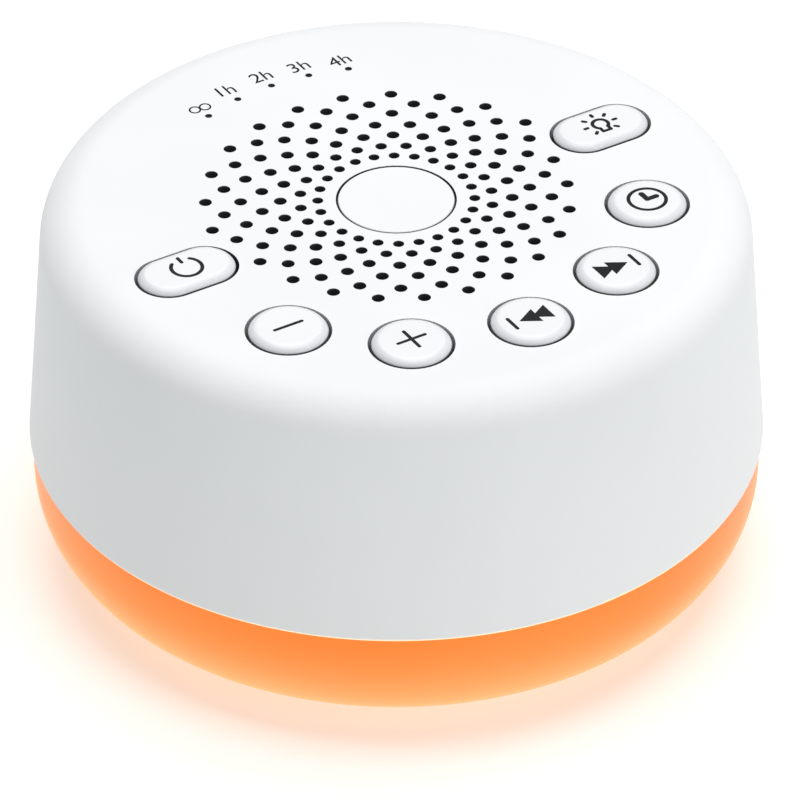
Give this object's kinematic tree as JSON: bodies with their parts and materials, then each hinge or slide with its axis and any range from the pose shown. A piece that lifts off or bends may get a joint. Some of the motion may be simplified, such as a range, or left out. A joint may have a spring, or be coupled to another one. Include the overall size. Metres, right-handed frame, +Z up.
{
  "type": "white noise sound machine",
  "caption": "Round white noise sound machine with a spiral grille, push buttons and a glowing night-light bowl under a drafted housing.",
  "frame": {"origin": "middle of the footprint, on the surface that the feet stand on", "axes": "+Z up; -Y towards the round buttons; +X towards the light button"},
  "size_m": [0.1, 0.1, 0.0562],
  "materials": {
    "housing_white": "fine matt",
    "button_white": "satin",
    "bowl_amber": "translucent matt, glowing",
    "cloth_black": "fine weave",
    "foam_black": "foam",
    "frame_steel": "plated",
    "ferrite": "matt",
    "surround_rubber": "satin",
    "spider_cloth": "woven",
    "fibre_board": "matt",
    "lug_brass": "tinned",
    "screw_steel": "zinc plated",
    "circuit_green": "solder mask",
    "part_black": "moulded",
    "lamp_yellow": "gel",
    "guide_clear": "clear",
    "can_aluminium": "can",
    "connector_white": "moulded",
    "socket_steel": "plated",
    "board_white": "white solder mask",
    "cone_paper": "pressed paper",
    "coil_copper": "wound wire",
    "foot_rubber": "matt"
  },
  "bodies": {
    "housing": {"top_housing": "housing_white", "centre_disc": "housing_white", "grille_cloth": "cloth_black", "speaker_gasket": "foam_black", "speaker_frame": "frame_steel", "speaker_top_plate": "frame_steel", "speaker_magnet": "ferrite", "speaker_yoke": "frame_steel", "speaker_surround": "surround_rubber", "speaker_spider": "spider_cloth", "terminal_board": "fibre_board", "terminal_lugs": "lug_brass", "speaker_screws": "screw_steel", "control_board": "circuit_green", "control_board_screws": "screw_steel", "tact_switches": "part_black", "timer_leds": "lamp_yellow", "timer_light_guides": "guide_clear", "mid_plate": "housing_white", "mid_plate_screws": "screw_steel", "main_board": "circuit_green", "main_board_screws": "screw_steel", "board_chips": "part_black", "board_capacitors": "can_aluminium", "lead_connectors": "connector_white", "usb_shell": "socket_steel", "usb_tongue": "part_black", "light_board": "board_white", "night_light_leds": "lamp_yellow", "light_board_screws": "screw_steel", "diffuser": "bowl_amber", "base_plate": "housing_white", "base_screws": "screw_steel", "rubber_feet": "foot_rubber"},
    "diaphragm": {"speaker_cone": "cone_paper", "voice_coil": "coil_copper", "dust_cap": "cone_paper"},
    "minus_button": {"button_minus": "button_white", "plunger_minus": "part_black"},
    "plus_button": {"button_plus": "button_white", "plunger_plus": "part_black"},
    "previous_button": {"button_previous": "button_white", "plunger_previous": "part_black"},
    "next_button": {"button_next": "button_white", "plunger_next": "part_black"},
    "timer_button": {"button_timer": "button_white", "plunger_timer": "part_black"},
    "power_button": {"button_power": "button_white", "plunger_power": "part_black"},
    "light_button": {"button_light": "button_white", "plunger_light": "part_black"}
  },
  "joints": [
    {"name": "diaphragm_stroke", "type": "slide", "parent": "housing", "child": "diaphragm", "axis": [0, 0, 1], "range_m": [-0.001, 0.001], "stiffness_N_per_m": 1500, "deforming": ["speaker_surround", "speaker_spider"]},
    {"name": "minus_press", "type": "slide", "parent": "housing", "child": "minus_button", "axis": [0, 0, -1], "range_m": [0, 0.0005], "stiffness_N_per_m": 2000, "springref_m": -0.0002},
    {"name": "plus_press", "type": "slide", "parent": "housing", "child": "plus_button", "axis": [0, 0, -1], "range_m": [0, 0.0005], "stiffness_N_per_m": 2000, "springref_m": -0.0002},
    {"name": "previous_press", "type": "slide", "parent": "housing", "child": "previous_button", "axis": [0, 0, -1], "range_m": [0, 0.0005], "stiffness_N_per_m": 2000, "springref_m": -0.0002},
    {"name": "next_press", "type": "slide", "parent": "housing", "child": "next_button", "axis": [0, 0, -1], "range_m": [0, 0.0005], "stiffness_N_per_m": 2000, "springref_m": -0.0002},
    {"name": "timer_press", "type": "slide", "parent": "housing", "child": "timer_button", "axis": [0, 0, -1], "range_m": [0, 0.0005], "stiffness_N_per_m": 2000, "springref_m": -0.0002},
    {"name": "power_press", "type": "slide", "parent": "housing", "child": "power_button", "axis": [0, 0, -1], "range_m": [0, 0.0005], "stiffness_N_per_m": 2000, "springref_m": -0.0002},
    {"name": "light_press", "type": "slide", "parent": "housing", "child": "light_button", "axis": [0, 0, -1], "range_m": [0, 0.0005], "stiffness_N_per_m": 2000, "springref_m": -0.0002}
  ]
}
